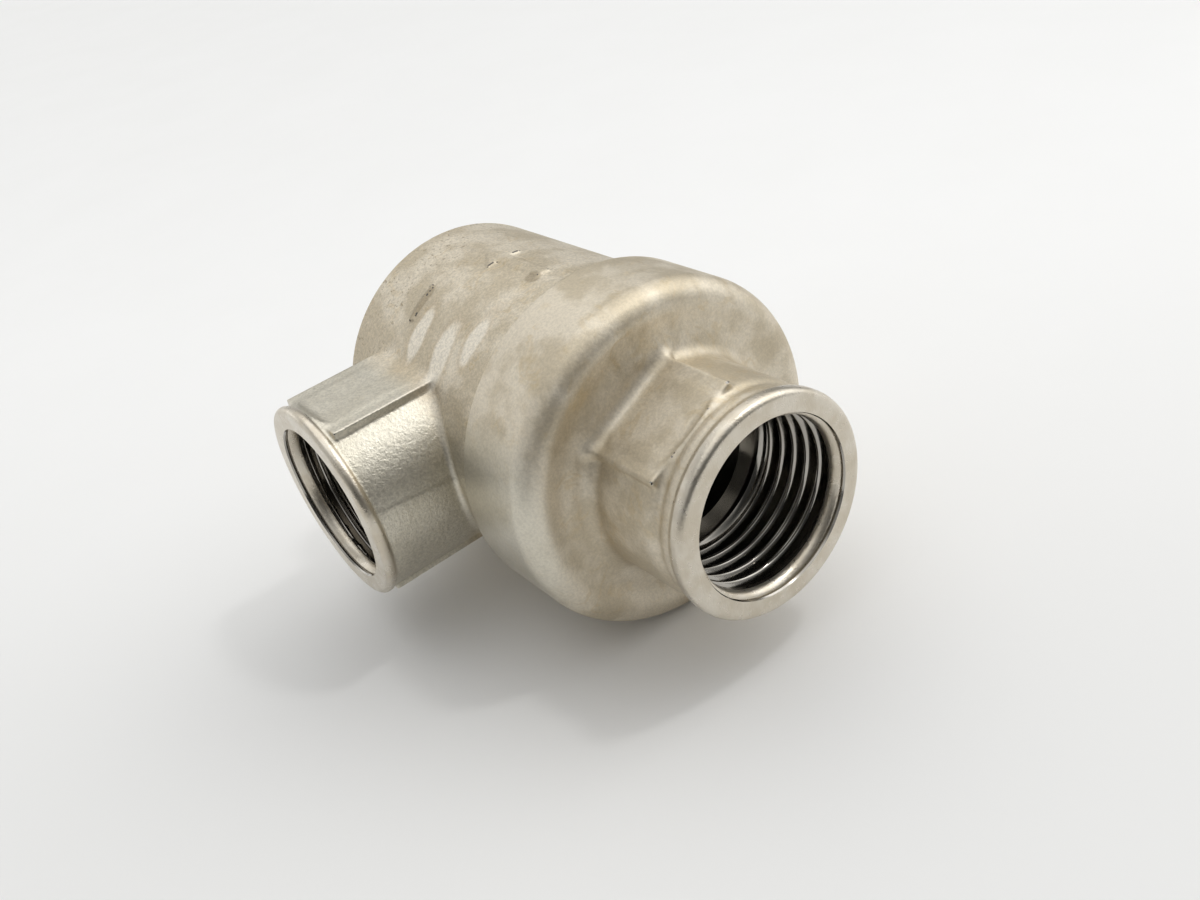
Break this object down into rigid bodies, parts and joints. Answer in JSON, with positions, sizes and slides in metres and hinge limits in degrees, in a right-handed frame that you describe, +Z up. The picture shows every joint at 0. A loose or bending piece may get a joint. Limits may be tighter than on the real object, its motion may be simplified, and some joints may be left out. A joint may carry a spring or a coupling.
{
  "type": "check valve",
  "caption": "Angle-pattern spring-loaded check valve: cast cylindrical body with a threaded side outlet, a screwed round cap with the threaded inlet, spanner flats and a sliding poppet.",
  "frame": {"origin": "centre of the bounding box in plan, at its lowest point; the valve lies with its main axis level", "axes": "+X along the main axis towards the inlet port, -Y along the outlet port, +Z up"},
  "size_m": [0.0564, 0.049, 0.0395],
  "materials": {
    "casting": "shot-blasted, nickel-plated casting, blotchy",
    "stainless": "turned stainless steel",
    "spring_wire": "drawn spring wire",
    "rubber": "moulded nitrile rubber",
    "plastic": "white bearing plastic"
  },
  "bodies": {
    "valve_housing": {"valve_body": "casting", "inlet_cap": "casting", "cap_seal": "rubber", "cap_backup_ring": "plastic", "seat_gasket": "plastic", "seat_ring": "stainless", "seat_ring_seal": "rubber", "guide_bush": "plastic", "bush_retaining_ring": "stainless", "lift_stop_sleeve": "stainless", "return_spring": "spring_wire"},
    "poppet": {"poppet_stem": "stainless", "stem_seal": "rubber", "poppet_disc": "stainless", "poppet_seal": "rubber", "seal_clamp_washer": "stainless", "wing_guide": "stainless", "nut_lock_washer": "stainless", "seal_nut": "stainless", "spring_cup": "stainless"}
  },
  "joints": [
    {"name": "poppet_lift", "type": "slide", "parent": "valve_housing", "child": "poppet", "axis": [-1, 0, 0], "range_m": [0, 0.0046], "stiffness_N_per_m": 400, "springref_m": -0.006, "deforming": ["return_spring"]}
  ]
}
